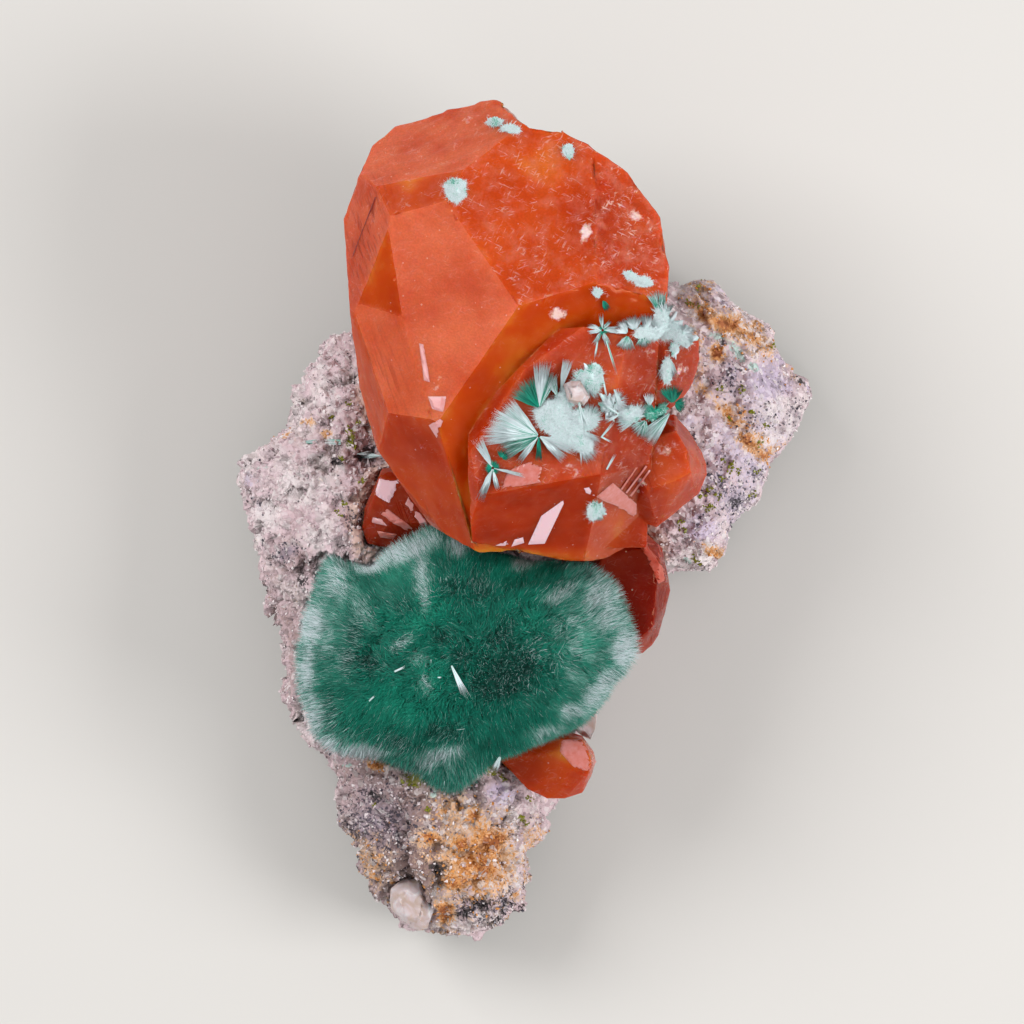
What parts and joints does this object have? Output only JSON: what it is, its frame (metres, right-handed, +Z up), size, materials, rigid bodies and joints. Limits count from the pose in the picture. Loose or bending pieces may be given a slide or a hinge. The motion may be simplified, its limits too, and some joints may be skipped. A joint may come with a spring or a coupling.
{
  "type": "malachite specimen on orange-red crystals and matrix",
  "caption": "Mat and sprays of green needle malachite on a group of orange-red crystals grown on a rough pinkish rock matrix, lying on its back.",
  "frame": {"origin": "under the middle of the specimen's box, on the surface that it lies on", "axes": "+X to the right and +Y to the top of the specimen as pictured, +Z up from the surface, out of the crystals' side"},
  "size_m": [0.0356, 0.0504, 0.0272],
  "materials": {
    "matrix_rock": "rough broken pinkish grey rock with rust stains and dark specks",
    "orange_crystal": "translucent orange-red crystal, satin and glassy faces",
    "red_crystal": "translucent red crystal with mirror-bright stepped faces",
    "pale_crystal": "cloudy whitish to pink crystal",
    "malachite_needles": "velvet of fine green needles, pale at the tips",
    "malachite_pale": "mint to white powdery needle patches"
  },
  "bodies": {
    "root": {"matrix": "matrix_rock", "crystal_cluster": "orange_crystal", "left_small_crystal": "red_crystal", "lower_small_crystal": "orange_crystal", "pale_wedge": "pale_crystal", "pale_crystal": "pale_crystal", "pink_chip": "pale_crystal", "malachite_mat": "malachite_needles", "spray_main": "malachite_needles", "spray_lower_left": "malachite_needles", "spray_star": "malachite_needles", "spray_upper_right": "malachite_needles", "spray_right": "malachite_needles", "spray_button": "malachite_needles", "spray_small": "malachite_needles", "spray_frost": "malachite_pale", "patch_upper": "malachite_pale", "patch_right_top": "malachite_pale", "patch_top": "malachite_pale", "needle_blade": "malachite_pale"}
  },
  "joints": []
}
